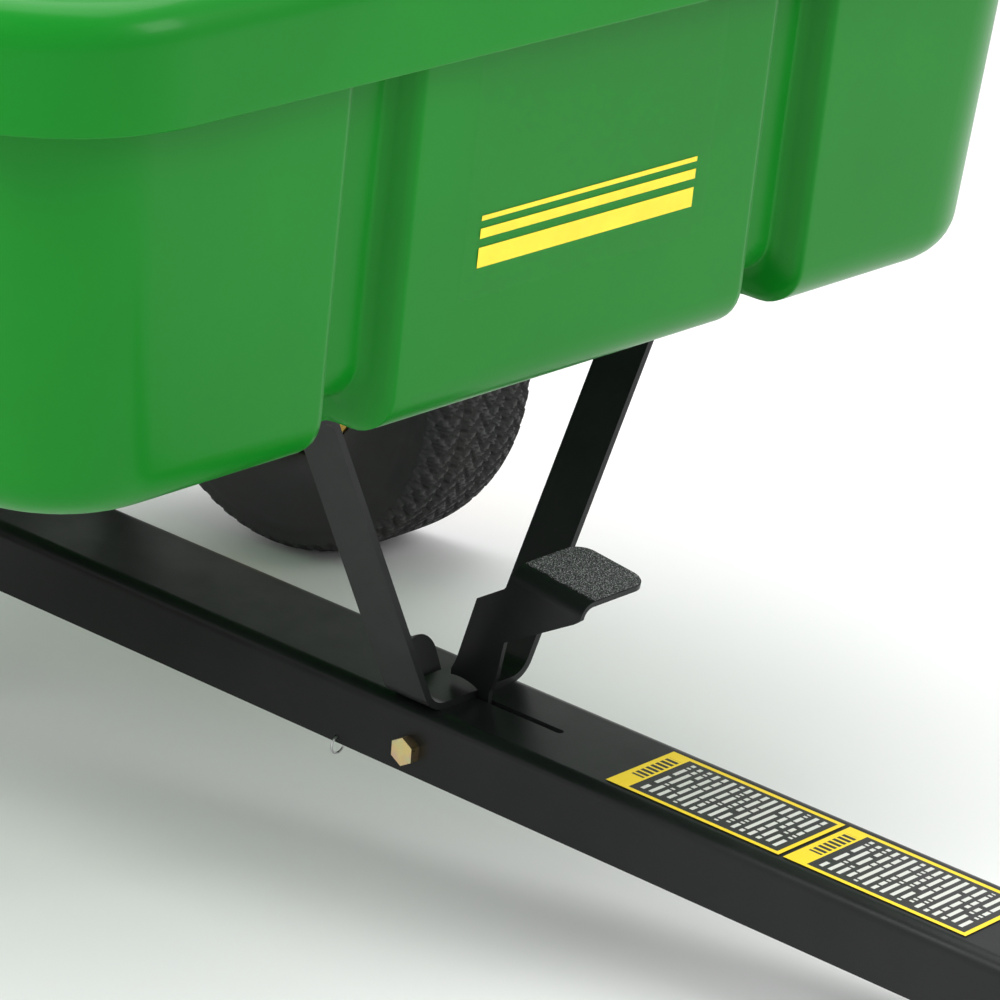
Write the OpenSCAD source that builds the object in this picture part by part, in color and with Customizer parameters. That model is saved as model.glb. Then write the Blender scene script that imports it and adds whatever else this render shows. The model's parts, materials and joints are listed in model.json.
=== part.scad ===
// Tow behind cart: a moulded dump tub on a pressed steel tongue, with two pneumatic wheels, a strap
// that the tongue latch holds down, and a foot pedal that lets the tub tip back about the axle.
// Every piece is drawn in the frame of the level cart: X to the cart's left, Y to the rear, Z up,
// zero on the tongue's top face at the front edge of the latch strap. place() then stands the cart
// on its tyres and on the foot of its hitch.

/* [Tongue] */
// Width of the tongue channel
tongue_w = 76.2; // [70:0.1:95]
// Height of the tongue channel
tongue_h = 39.6; // [38:0.1:60]
// Steel thickness of the channel
tongue_t = 3; // [2:0.5:4]
// Outer bend radius of the channel
tongue_r = 7.8; // [5:0.1:10]
// Channel length ahead of the latch strap
tongue_fwd = 590; // [500:5:800]
// Channel length behind the axle
tongue_tail = 48; // [30:1:80]
// Width of the slot that the latch lever stands in
slot_w = 4.6; // [4.2:0.1:6]
// Reach of that slot ahead of the strap
slot_len = 61; // [55:1:70]

/* [Hitch] */
// Width of the two hitch jaws
jaw_w = 50; // [40:1:60]
// Thickness of the jaws
jaw_t = 6; // [4:0.5:8]
// Gap between the jaws
jaw_gap = 33; // [22:1:40]
// Reach of the jaws ahead of the channel
jaw_reach = 50; // [40:1:80]
// Hitch pin bore
pin_d = 16.5; // [12:0.5:20]

/* [Axle and wheels] */
// Distance from the latch strap back to the axle
axle_back = 480; // [430:5:560]
// Drop of the axle centre below the tongue's top face
axle_drop = 15; // [12:1:25]
// Axle diameter
axle_d = 15.9; // [12:0.1:20]
// Running clearance of each bore on its shaft
run_clear = 0.3; // [0.2:0.05:0.6]
// Tyre outer radius
tyre_r = 140; // [120:1:165]
// Tyre section width
tyre_w = 102; // [90:1:120]
// Rim seat radius
seat_r = 60; // [52:1:66]
// Tyre centre from the cart's middle
track_half = 385; // [370:1:450]
// Hub length
hub_len = 80; // [60:1:90]
// Hub outer diameter
hub_d = 34; // [30:1:40]

/* [Tub] */
// Width over the rim
tub_w = 844; // [760:1:1010]
// Length over the rim
tub_l = 1040; // [900:1:1250]
// Height from the floor of the tub to the top of the rim
tub_h = 269; // [230:1:340]
// Height of the tub's underside above the tongue's top face
tub_lift = 192; // [160:1:215]
// Front of the rim ahead of the latch strap
tub_fwd = 83; // [75:1:95]
// Wall thickness
tub_t = 5; // [4:0.5:6]
// Overhang of the rolled rim past the wall
rim_over = 26; // [20:1:32]
// Depth of the rim's skirt
rim_skirt = 60; // [45:1:75]
// Radius of the roll along the rim
rim_r = 20; // [12:1:24]
// Corner radius of the walls in plan
corner_r = 70; // [50:1:90]
// Fillet between walls and floor
floor_r = 25; // [15:1:40]
// Lean of the front wall, degrees
front_lean = 2.5; // [1:0.5:6]
// Lean of the side walls, degrees
side_lean = 5.5; // [2:0.5:8]
// Lean of the rear wall, degrees
rear_lean = 12; // [5:1:20]
// Centre of each wall groove from the middle
groove_x = 162; // [140:1:200]
// Width of a groove at the wall
groove_w = 52; // [40:1:60]
// Width of a groove at its floor
groove_floor = 30; // [20:1:40]
// Depth of a groove
groove_d = 15; // [8:1:18]

/* [Latch strap] */
// Width of the strap's bar
strap_w = 31; // [25:1:40]
// Thickness of the strap
strap_t = 4; // [3:0.5:5]
// Half width of the strap at the tongue
strap_foot = 37.6; // [34:0.2:46]
// Lean of each leg from upright, degrees
strap_lean = 26; // [20:1:32]
// Inner bend radius at the foot
strap_r = 14; // [8:1:20]
// Length of the flange at the top of each leg
strap_flange = 44; // [38:1:55]

/* [Latch pedal] */
// Thickness of the lever plate
lever_t = 3; // [2.5:0.5:4]
// Pivot height below the tongue's top face
pivot_drop = 24.9; // [22:0.1:28]
// Pivot position behind the strap's front edge
pivot_back = 13.2; // [11:0.1:15]
// Pivot bolt diameter
pivot_d = 9.5; // [8:0.5:10]
// Length of the nose over the strap
nose_len = 19.3; // [15:0.1:19.5]
// Length of the foot pad along the cart
pad_l = 50; // [40:1:60]
// Reach of the foot pad from the lever plate
pad_w = 54; // [45:1:65]
// Tilt of the foot pad, degrees
pad_tilt = 6.5; // [0:0.5:12]

/* [Fasteners] */
// Bolt diameter under the tub
bolt_d = 6.4; // [5:0.1:8]
// Clearance of each bolt in its hole
hole_clear = 0.4; // [0.2:0.1:1]
// Bolt diameter in the hitch
hitch_d = 9.5; // [8:0.1:12]

/* [Hidden] */
$fn = 48;
e = 0.01;
green = "#0a8a1e";
black = "#1c1d1f";
zinc = "#c9b458";
yellow = "#e0b400";

// the cart stands on its tyres and on the front lower edge of the lower jaw
jaw_top = -tongue_t;
jaw_foot = jaw_top - 2 * jaw_t - jaw_gap;
foot_run = axle_back + tongue_fwd + jaw_reach;
foot_drop = -jaw_foot - axle_drop;
pitch = asin(tyre_r / sqrt(foot_run * foot_run + foot_drop * foot_drop)) - atan2(foot_drop, foot_run);

// tub levels and walls
zf = tub_lift;
zr = tub_lift + tub_h;
zs = zr - rim_skirt;
wall_f = -(tub_fwd - rim_over);
wall_b = tub_l - tub_fwd - rim_over;
wall_x = tub_w / 2 - rim_over;
function front_y(z) = wall_f + (zr - z) * tan(front_lean);
function rear_y(z) = wall_b - (zr - z) * tan(rear_lean);
function side_x(z) = wall_x - (zr - z) * tan(side_lean);

// the centre of the whole part along the cart, from its two ends
y_lo = -foot_run * cos(pitch) - (jaw_top + axle_drop) * sin(pitch);
y_hi = (tub_l - tub_fwd - axle_back) * cos(pitch) - (zs + axle_drop) * sin(pitch);
y_mid = (y_lo + y_hi) / 2;

module place() translate([0, -y_mid, tyre_r]) rotate([pitch, 0, 0])
    translate([0, -axle_back, axle_drop]) children();
module at_axle() translate([0, axle_back, -axle_drop]) children();
module both() { children(); mirror([1, 0, 0]) children(); }
// a shape drawn in (Y, Z) and pushed out along X from a to b
module along_x(a, b) translate([a, 0, 0]) rotate([90, 0, 90]) linear_extrude(b - a) children();
module rod(a, b, d) translate([a, 0, 0]) rotate([0, 90, 0]) cylinder(d = d, h = b - a);
module tube(a, b, d, bore) translate([a, 0, 0]) rotate([0, 90, 0]) difference() {
    cylinder(d = d, h = b - a);
    translate([0, 0, -1]) cylinder(d = bore, h = b - a + 2);
}

// ---- fasteners, each drawn along +Z with the joint's face at zero ----
module hex(af, h) cylinder(d = af / cos(30), h = h, $fn = 6);
// carriage bolt: domed head above zero, shank down to -len
module carriage(d, len) {
    intersection() {
        cylinder(d = 2.3 * d, h = 0.55 * d);
        translate([0, 0, -1.1 * d]) sphere(r = 1.6 * d);
    }
    translate([0, 0, -len]) cylinder(d = d, h = len + e);
}
// flange nut hanging below zero
module flange_nut(d) difference() {
    union() {
        translate([0, 0, -0.25 * d]) cylinder(d = 2.25 * d, h = 0.25 * d);
        translate([0, 0, -1.1 * d]) hex(1.72 * d, 0.9 * d);
    }
    translate([0, 0, -2 * d]) cylinder(d = d + 0.1, h = 3 * d);
}

// ---- tongue ----
module channel2d(w, h, r) {
    translate([-w / 2, -h]) square([w, h - r]);
    translate([-w / 2 + r, -r - e]) square([w - 2 * r, r + e]);
    for (s = [-1, 1]) translate([s * (w / 2 - r), -r]) circle(r = r);
}
tab_y = strap_w + 4;
tab_h = 23;
tab_wd = 21;
tab_lean = 25;
spring_y = 66;
spring_z = -(tongue_h - 3.3);
hitch_y = [-(tongue_fwd - 22), -(tongue_fwd - 58)];
module tongue_channel() color(black) place() {
    back = axle_back + tongue_tail;
    difference() {
        translate([0, back, 0]) rotate([90, 0, 0]) linear_extrude(back + tongue_fwd) difference() {
            channel2d(tongue_w, tongue_h, tongue_r);
            translate([0, -tongue_t]) channel2d(tongue_w - 2 * tongue_t, tongue_h, tongue_r - tongue_t);
        }
        // slot for the lever, with a round front end
        translate([-slot_w / 2, -slot_len + slot_w / 2, -tongue_t - 1])
            cube([slot_w, slot_len - slot_w / 2 + 1, tongue_t + 2]);
        translate([0, -slot_len + slot_w / 2, -tongue_t - 1]) cylinder(d = slot_w, h = tongue_t + 2);
        // window that the guide tab was cut from
        translate([-tab_wd / 2 - 0.5, tab_y + 1, -tongue_t - 1]) cube([tab_wd + 1, tab_h + 1, tongue_t + 2]);
        at_axle() rod(-tongue_w, tongue_w, axle_d + 0.1);
        translate([0, pivot_back, -pivot_drop]) rod(-tongue_w, tongue_w, pivot_d + hole_clear);
        translate([0, spring_y, spring_z]) rod(-tongue_w, 0, 2.6);
        for (y = hitch_y) translate([0, y, -20]) cylinder(d = hitch_d + hole_clear, h = 40);
    }
    // guide tab, bent up and leaning back
    translate([0, tab_y, -tongue_t]) rotate([-tab_lean, 0, 0]) {
        translate([-tab_wd / 2, 0, 0]) cube([tab_wd, tongue_t, tab_h - tab_wd / 2 + tongue_t]);
        translate([0, tongue_t, tab_h - tab_wd / 2 + tongue_t]) rotate([90, 0, 0])
            cylinder(d = tab_wd, h = tongue_t);
    }
}

// ---- hitch: a flat upper jaw and a stepped lower jaw ----
pin_y = -(tongue_fwd + jaw_reach - 26);
jaw_rear = -(tongue_fwd - 80);
module jaw_nose() translate([-jaw_w / 2, -(tongue_fwd + jaw_reach), 0]) children();
module hitch_jaw_upper() color(black) place() difference() {
    jaw_nose() translate([0, 0, jaw_top - jaw_t]) cube([jaw_w, tongue_fwd + jaw_reach + jaw_rear, jaw_t]);
    translate([0, pin_y, -30]) cylinder(d = pin_d, h = 40);
    for (y = hitch_y) translate([0, y, -30]) cylinder(d = hitch_d + hole_clear, h = 40);
}
module hitch_jaw_lower() color(black) place() difference() {
    z1 = jaw_top - jaw_t;
    z2 = jaw_foot + jaw_t;
    ya = jaw_rear;
    yb = hitch_y[0] - 15;
    yc = yb - 12;
    along_x(-jaw_w / 2, jaw_w / 2) polygon([[ya, z1], [ya, z1 - jaw_t], [yb + 3, z1 - jaw_t],
        [yc + 3, jaw_foot], [-(tongue_fwd + jaw_reach), jaw_foot], [-(tongue_fwd + jaw_reach), z2],
        [yc - 4, z2], [yb - 4, z1]]);
    translate([0, pin_y, jaw_foot - 5]) cylinder(d = pin_d, h = 20);
    for (y = hitch_y) translate([0, y, -30]) cylinder(d = hitch_d + hole_clear, h = 40);
}
hitch_stack = tongue_t + 2 * jaw_t;
module hitch_bolts() color(zinc) place()
    for (y = hitch_y) translate([0, y, 0]) carriage(hitch_d, hitch_stack + 13);
module hitch_nuts() color(zinc) place()
    for (y = hitch_y) translate([0, y, -hitch_stack]) flange_nut(hitch_d);

// ---- axle line ----
hub_in = track_half - hub_len / 2;
hub_out = track_half + hub_len / 2;
bear_f = 1.5;
wash_t = 1.8;
cotter_d = 3;
axle_end = hub_out + bear_f + wash_t + 9;
cotter_x = hub_out + bear_f + wash_t + 0.6 + cotter_d / 2;
module axle() color("silver") place() at_axle() difference() {
    rod(-axle_end, axle_end, axle_d);
    both() translate([cotter_x, 0, -20]) cylinder(d = cotter_d + 0.2, h = 40);
}
module axle_washers() color(zinc) place() at_axle()
    both() tube(hub_out + bear_f + 0.2, hub_out + bear_f + wash_t, 30, axle_d + run_clear);
module cotter_pins() color("silver") place() at_axle() both() translate([cotter_x, 0, 0]) {
    translate([0, 0, -axle_d / 2 - 7]) cylinder(d = cotter_d, h = axle_d + 14 - 1);
    translate([0, 0, axle_d / 2 + 8]) rotate([0, 90, 0])
        rotate_extrude() translate([3.4, 0]) circle(d = cotter_d * 0.9, $fn = 24);
}

// ---- axle brackets under the tub ----
brk_x = 149;
brk_t = 4;
brk_flange = 42;
brk_half = 130;
brk_eye = 26;
brk_bolt_x = brk_x + 25;
brk_bolt_y = 95;
bush_wall = 3;
bush_flange = 1.5;
brk_top = tub_lift + axle_drop;
module bracket() difference() {
    union() {
        along_x(brk_x, brk_x + brk_t) {
            polygon([[-brk_half, brk_top], [-brk_half, brk_top - 30], [-brk_eye + 1, -8],
                [brk_eye - 1, -8], [brk_half, brk_top - 30], [brk_half, brk_top]]);
            circle(r = brk_eye);
        }
        translate([brk_x, -brk_half, brk_top - brk_t]) cube([brk_flange, 2 * brk_half, brk_t]);
    }
    rod(0, 2 * brk_x, axle_d + run_clear + 2 * bush_wall);
    for (s = [-1, 1]) translate([brk_bolt_x, s * brk_bolt_y, brk_top - 10])
        cylinder(d = bolt_d + hole_clear, h = 20);
    // lightening window
    along_x(brk_x - 1, brk_x + brk_t + 1)
        polygon([[-62, brk_top - 40], [-28, 50], [28, 50], [62, brk_top - 40]]);
}
module axle_bracket_left() color(black) place() at_axle() bracket();
module axle_bracket_right() color(black) place() at_axle() mirror([1, 0, 0]) bracket();
module bracket_bushings() color("#d8d8d0") place() at_axle() both() {
    b = axle_d + run_clear;
    difference() {
        union() {
            rod(brk_x, brk_x + brk_t, b + 2 * bush_wall - 0.1);
            rod(brk_x - bush_flange, brk_x, b + 2 * bush_wall + 8);
            rod(brk_x + brk_t, brk_x + brk_t + bush_flange, b + 2 * bush_wall + 8);
        }
        rod(0, 2 * brk_x, b);
    }
}
module bracket_spots() both() for (s = [-1, 1])
    translate([brk_bolt_x, axle_back + s * brk_bolt_y, 0]) children();
module bracket_bolts() color(zinc) place() bracket_spots()
    translate([0, 0, tub_lift + tub_t + plate_t]) carriage(bolt_d, tub_t + plate_t + brk_t + 12);
module bracket_nuts() color(zinc) place() bracket_spots()
    translate([0, 0, tub_lift - brk_t]) flange_nut(bolt_d);
plate_t = 1.5;
module plate(r) translate([0, 0, tub_lift + tub_t]) difference() {
    cylinder(r = r, h = plate_t);
    translate([0, 0, -1]) cylinder(d = bolt_d + hole_clear, h = plate_t + 2);
}
module bracket_plates() color(zinc) place() bracket_spots() plate(14);

// ---- spacers on the axle ----
module inner_spacers() color(black) place() at_axle()
    both() tube(tongue_w / 2, brk_x - bush_flange - 0.4, 22, axle_d + 0.2);
module outer_spacers() color(black) place() at_axle()
    both() tube(brk_x + brk_t + bush_flange + 0.4, hub_in - bear_f - 0.4, 22, axle_d + 0.2);

// ---- tub ----
// rounded block between two heights: walls lean, the lower edge is filleted by r
module body(o, zb, r, top) hull() for (sx = [-1, 1], rear = [0, 1]) {
    c = corner_r - o;
    yb = rear ? rear_y(zb) - o - c : front_y(zb) + o + c;
    yt = rear ? rear_y(top) - o - c : front_y(top) + o + c;
    translate([sx * (side_x(zb) - o - c), yb, zb + r]) rotate_extrude($fn = 48)
        translate([c - r, 0]) intersection() {
            circle(r = r, $fn = 48);
            translate([0, -r]) square(r);
        }
    translate([sx * (side_x(zb) - o - c), yb, zb]) cylinder(r = c - r, h = r, $fn = 48);
    translate([sx * (side_x(top) - o - c), yt, top - 1]) cylinder(r = c, h = 1, $fn = 48);
}
rim_corner = corner_r + rim_over;
module rim_block(o, zb, top, r) hull() for (sx = [-1, 1], y = [-tub_fwd + rim_corner, tub_l - tub_fwd - rim_corner])
    translate([sx * (tub_w / 2 - rim_corner), y, 0]) {
        translate([0, 0, zb]) cylinder(r = rim_corner - o, h = 1);
        translate([0, 0, top - r]) rotate_extrude() translate([rim_corner - o - r, 0]) intersection() {
            circle(r = r);
            square(r);
        }
        translate([0, 0, top - 1]) cylinder(r = rim_corner - o - r, h = 1);
    }
groove_rise = 17;
groove_end = 8;
// region ahead of and below the core that a front groove leaves, grown inwards by o
function core_pts(o) =
    let (zc = zf + groove_rise + o, r = floor_r - o * 0.6, d = (groove_d + o) / cos(front_lean),
        yw = front_y(zc) + d, a0 = 180 + front_lean)
    concat([[wall_f - 60, zr], [wall_f + d, zr]],
        [for (i = [0:8]) let (a = a0 + (270 - a0) * i / 8, yc = yw + r * (1 - tan(front_lean) * 1))
            [yc + r * cos(a), zc + r + r * sin(a)]],
        [[-groove_end + o, zc], [-groove_end + 5 + o, zf - 3], [-groove_end + 5 + o, zf - 40], [wall_f - 60, zf - 40]]);
module groove(o) translate([groove_x, 0, 0]) intersection() {
    along_x(-groove_w, groove_w) polygon(core_pts(o));
    g = groove_w / 2 + o * 0.7;
    f = groove_floor / 2 + o * 0.7;
    k = (g - f) / groove_d;
    union() {
        // down the wall
        translate([0, front_y(zf), zf]) rotate([front_lean, 0, 0]) translate([0, 0, -40])
            linear_extrude(tub_h + 60) polygon([[-g - 6 * k, -6], [g + 6 * k, -6],
                [f - o * k, groove_d + o], [-f + o * k, groove_d + o]]);
        // under the floor
        translate([0, 20, zf]) rotate([90, 0, 0]) linear_extrude(wall_b)
            polygon([[-g - 6 * k, -6], [g + 6 * k, -6], [f - o * k, groove_rise + o], [-f + o * k, groove_rise + o]]);
    }
}
// plain grooves down the rear wall, ending above the fillet
module rear_groove(o) translate([groove_x, rear_y(zf), zf]) rotate([-rear_lean, 0, 0])
    translate([0, 0, floor_r + 14 - o]) linear_extrude(tub_h) polygon([
        [-groove_w / 2 - o * 0.7, 4], [groove_w / 2 + o * 0.7, 4],
        [groove_floor / 2 + o * 0.4, -groove_d * 0.7 - o], [-groove_floor / 2 - o * 0.4, -groove_d * 0.7 - o]]);
// the shell is one moulding, meshed whole
module tub_shell() color(green) place() resize([0, 0, 0]) difference() {
    union() {
        difference() {
            rim_block(0, zs, zr, rim_r);
            translate([0, 0, -e]) rim_block(tub_t, zs, zr - tub_t, rim_r - tub_t);
        }
        difference() {
            body(0, zf, floor_r, zr);
            both() { groove(0); rear_groove(0); }
        }
    }
    difference() {
        body(tub_t, zf + tub_t, floor_r - tub_t, zr + 5);
        both() { groove(tub_t); rear_groove(tub_t); }
    }
    bracket_spots() translate([0, 0, zf - 5]) cylinder(d = bolt_d + hole_clear, h = 20, $fn = 24);
    strap_spots() translate([0, 0, zf - 5]) cylinder(d = bolt_d + hole_clear, h = 20, $fn = 24);
}

// ---- latch strap: one flat bar bent to a V with turned-out flanges ----
strap_rc = strap_r + strap_t / 2;
strap_r2 = 8 + strap_t / 2;
strap_turn = 90 - strap_lean;
strap_zc = tub_lift - strap_t / 2;
strap_x1 = strap_foot - strap_t / 2 / cos(strap_lean) + strap_t / 2 * tan(strap_lean);
strap_x2 = strap_x1 + (strap_zc - strap_t / 2) * tan(strap_lean);
strap_bolt_x = strap_x2 + strap_flange - 20;
strap_bolt_y = strap_w / 2;
// one side of the bar, s outwards from its centre line
function strap_half(s) = concat(
    [for (i = [0:10]) let (a = -90 + strap_turn * i / 10, c = [strap_x1 - strap_rc * tan(strap_turn / 2),
        strap_t / 2 + strap_rc]) c + (strap_rc + s) * [cos(a), sin(a)]],
    [for (i = [0:8]) let (a = 180 - strap_lean - strap_turn * i / 8, c = [strap_x2 + strap_r2 * tan(strap_turn / 2),
        strap_zc - strap_r2]) c + (strap_r2 - s) * [cos(a), sin(a)]],
    [[strap_x2 + strap_flange, strap_zc - s]]);
function flip(p) = [for (i = [len(p) - 1:-1:0]) [-p[i][0], p[i][1]]];
module latch_strap() color(black) place() difference() {
    lo = strap_half(strap_t / 2);
    hi = strap_half(-strap_t / 2);
    translate([0, strap_w, 0]) rotate([90, 0, 0]) linear_extrude(strap_w)
        polygon(concat(flip(lo), lo, [for (i = [len(hi) - 1:-1:0]) hi[i]], [for (p = hi) [-p[0], p[1]]]));
    strap_spots() translate([0, 0, tub_lift - 15]) cylinder(d = bolt_d + hole_clear, h = 30);
}
module strap_spots() both() translate([strap_bolt_x, strap_bolt_y, 0]) children();
module strap_bolts() color(zinc) place() strap_spots()
    translate([0, 0, tub_lift + tub_t + plate_t]) carriage(bolt_d, tub_t + plate_t + strap_t + 12);
module strap_nuts() color(zinc) place() strap_spots()
    translate([0, 0, tub_lift - strap_t]) flange_nut(bolt_d);
module strap_plates() color(zinc) place() strap_spots() plate(13);

// ---- film on the front wall ----
film_w = 190;
film_z0 = zf + 66;
film_z1 = zs - 6;
module front_decal() color(yellow) place()
    translate([-film_w / 2, front_y(film_z0), film_z0]) rotate([front_lean, 0, 0])
        translate([0, -0.4, 0]) cube([film_w, 0.4, (film_z1 - film_z0) / cos(front_lean)]);

// ---- labels on the tongue ----
label_w = 55;
label_l = 116;
label_y = [-115, -234];
module tongue_labels() color("gold") place()
    for (y = label_y) translate([-label_w / 2, y - label_l, 0]) cube([label_w, label_l, 0.4]);

// ---- wheels ----
// half of the tyre's section as (radius, side), outer skin from bead to crown
tyre_out = [[0.4, 0.53], [0.4, 0.71], [3, 0.735], [10.4, 0.745], [12.5, 0.86], [20, 0.96], [34, 1], [54, 0.985], [66, 0.95]];
function tyre_r_at(h) = seat_r + h * (tyre_r - seat_r) / 80;
function tyre_side(m) = concat([for (p = tyre_out) [tyre_r_at(p[0]), m * p[1] * tyre_w / 2]],
    [[tyre_r - 8, m * 0.94 * tyre_w / 2], [tyre_r - 3, m * 0.9 * tyre_w / 2],
        [tyre_r - 1, m * 0.74 * tyre_w / 2], [tyre_r, m * 0.4 * tyre_w / 2]]);
function tyre_in(m) = [for (p = [[0.4, 0.53], [12, 0.62], [26, 0.84], [50, 0.86], [64, 0.74], [70, 0.4]])
    [tyre_r_at(p[0]), m * p[1] * tyre_w / 2]];
function rev(p) = [for (i = [len(p) - 1:-1:0]) p[i]];
module wheel_at(s) place() at_axle() translate([s * track_half, 0, 0]) children();
module turn() rotate([0, 90, 0]) rotate_extrude($fn = 96) children();
module tyre() turn() polygon(concat(tyre_side(1), rev(tyre_side(-1)), tyre_in(-1), rev(tyre_in(1))));
rim_t = 2.5;
rim_half = 0.81 * tyre_w / 2;
rim_bore = hub_d / 2 + 0.1;
module rim_side() turn() polygon([[rim_bore, 0], [seat_r - 8, 0], [seat_r - 2, 5], [seat_r, 8],
    [seat_r, rim_half - 4.4], [seat_r + 2.6, rim_half - 2.6], [seat_r + 9.5, rim_half - 2.2], [seat_r + 9.5, rim_half],
    [seat_r + 1.6, rim_half - 0.2], [seat_r - rim_t, rim_half - 3.4], [seat_r - rim_t, 9],
    [seat_r - 5, 7], [seat_r - 9, rim_t], [rim_bore, rim_t]]);
rim_bolt_r = hub_d / 2 + 17;
rim_bolt_n = 5;
valve_r = seat_r - 15.5;
module rim_spots() for (i = [0:rim_bolt_n - 1]) rotate([i * 360 / rim_bolt_n, 0, 0])
    translate([0, 0, rim_bolt_r]) rotate([0, 90, 0]) children();
module rim() difference() {
    union() { rim_side(); mirror([1, 0, 0]) rim_side(); }
    rim_spots() translate([0, 0, -20]) cylinder(d = bolt_d + hole_clear, h = 40);
    rotate([36, 0, 0]) translate([0, 0, valve_r]) rotate([0, 90, 0])
        translate([0, 0, -20]) cylinder(d = 8, h = 40);
}
module rim_bolts() rim_spots() {
    translate([0, 0, rim_t]) carriage(bolt_d, 2 * rim_t + 11);
    translate([0, 0, -rim_t]) flange_nut(bolt_d);
}
bear_wall = 4;
bear_len = 22;
module hub() difference() {
    union() {
        rod(-hub_len / 2, hub_len / 2, hub_d);
        tube(-3 - rim_t, -rim_t, hub_d + 14, hub_d - 4);
        tube(rim_t, 3 + rim_t, hub_d + 14, hub_d - 4);
    }
    rod(-hub_len, hub_len, axle_d + 4);
    for (m = [0, 1]) mirror([m, 0, 0]) rod(hub_len / 2 - bear_len, hub_len, axle_d + run_clear + 2 * bear_wall);
}
module bearings() both() difference() {
    union() {
        rod(hub_len / 2 - bear_len, hub_len / 2, axle_d + run_clear + 2 * bear_wall - 0.1);
        rod(hub_len / 2, hub_len / 2 + bear_f, hub_d - 2);
    }
    rod(0, hub_len, axle_d + run_clear);
}
module valve() rotate([36, 0, 0]) translate([0, 0, valve_r]) {
    rod(-rim_t - 6, rim_t + 22, 7.6);
    rod(rim_t + 22, rim_t + 30, 6);
    rod(-rim_t - 8, -rim_t, 12);
}
module tyre_left() color(black) wheel_at(1) tyre();
module tyre_right() color(black) wheel_at(-1) tyre();
module rim_left() color(yellow) wheel_at(1) rim();
module rim_right() color(yellow) wheel_at(-1) mirror([1, 0, 0]) rim();
module hub_left() color(yellow) wheel_at(1) hub();
module hub_right() color(yellow) wheel_at(-1) hub();
module bearings_left() color("#d8d8d0") wheel_at(1) bearings();
module bearings_right() color("#d8d8d0") wheel_at(-1) bearings();
module rim_bolts_left() color(zinc) wheel_at(1) rim_bolts();
module rim_bolts_right() color(zinc) wheel_at(-1) mirror([1, 0, 0]) rim_bolts();
module valve_left() color(black) wheel_at(1) valve();
module valve_right() color(black) wheel_at(-1) mirror([1, 0, 0]) valve();

// ---- latch lever, drawn as (ahead, up) ----
// the hook's underside is an arc about the pivot, outside the strap's front corner
hook_r = norm([pivot_back, pivot_drop + strap_t]) + 0.7;
function hook_z(f) = sqrt(hook_r * hook_r - (f + pivot_back) * (f + pivot_back)) - pivot_drop;
neck_f = 0.7;
neck_w = 8;
bend_r = 9;
pad_f = 19;
pad_z = 81.5;
spring_hole = [-3.5, -11.5];
function pad_pt(p, q) = [pad_f + p * cos(pad_tilt) + q * sin(pad_tilt), pad_z - p * sin(pad_tilt) + q * cos(pad_tilt)];
lever_pts = concat(
    [[-2 - pivot_back / 2, -pivot_drop + 4], [-9, -8.5], [neck_f, -6]],
    [for (i = [0:8]) let (f = neck_f - (neck_f + nose_len) * i / 8) [f, hook_z(f)]],
    [[-nose_len, hook_z(-nose_len) + 3.2], [-17, 15], [-15.8, 18], [-4.8, 56], [13.7, 67.4], pad_pt(0, -bend_r),
        pad_pt(pad_l, -bend_r), [63.4, 63.5], [16.6, 37.3], [12.7, 14.7], [neck_f + neck_w, 6],
        [neck_f + neck_w, -6], [2, -pivot_drop - 4]]);
module lever_at() translate([0, pivot_back, -pivot_drop]) children();
module latch_lever() color(black) place() difference() {
    union() {
        along_x(-lever_t / 2, lever_t / 2) polygon([for (p = lever_pts) [-p[0], p[1]]]);
        lever_at() rod(-lever_t / 2, lever_t / 2, 27);
        // bend and pad along the tilted line
        translate([0, -pad_f, pad_z]) rotate([pad_tilt, 0, 0]) {
            translate([bend_r - lever_t / 2, 0, -bend_r]) rotate([90, 0, 0]) linear_extrude(pad_l) difference() {
                circle(r = bend_r);
                circle(r = bend_r - lever_t);
                translate([0, -2 * bend_r]) square(4 * bend_r);
                translate([-2 * bend_r, -2 * bend_r - e]) square([4 * bend_r, 2 * bend_r]);
            }
            translate([0, 0, -lever_t]) linear_extrude(lever_t) pad_outline(0);
        }
    }
    lever_at() rod(-5, 5, 14.2);
    translate([0, -spring_hole[0], spring_hole[1]]) rod(-5, 5, 2.6);
}
pad_corner = 11;
module pad_outline(o) {
    x0 = bend_r - lever_t / 2 - e + o;
    x1 = pad_w - lever_t / 2 - o;
    translate([x0, -pad_l + o]) square([x1 - x0 - pad_corner, pad_l - 2 * o]);
    translate([x0, -pad_l + pad_corner]) square([x1 - x0, pad_l - 2 * pad_corner]);
    for (y = [-pad_corner, -pad_l + pad_corner]) translate([x1 - pad_corner + o, y]) circle(r = pad_corner - o);
}
module grip_pad() color("#8a8a8a") place() translate([0, -pad_f, pad_z]) rotate([pad_tilt, 0, 0])
    linear_extrude(0.8) pad_outline(0.6);
module lever_bushing() color("#d8d8d0") place() lever_at()
    tube(-lever_t / 2 - 0.8, lever_t / 2 + 0.8, 14, pivot_d + run_clear);

// ---- pivot bolt, its nut, spacers and the return spring ----
module latch_bolt() color(zinc) place() lever_at() {
    rod(-tongue_w / 2 - e, tongue_w / 2 + 12, pivot_d);
    translate([-tongue_w / 2 - 6, 0, 0]) rotate([0, 90, 0]) hex(14.3, 6);
}
module latch_nut() color(zinc) place() lever_at() translate([tongue_w / 2, 0, 0]) difference() {
    rotate([0, 90, 0]) hex(14.3, 8);
    rod(-1, 9, pivot_d + 0.1);
}
module latch_spacers() color("silver") place() lever_at() {
    wall = tongue_w / 2 - tongue_t;
    tube(lever_t / 2 + 1.2, wall, 13, pivot_d + 0.3);
    tube(-wall, -wall + 19, 13, pivot_d + 0.3);
}
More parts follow.
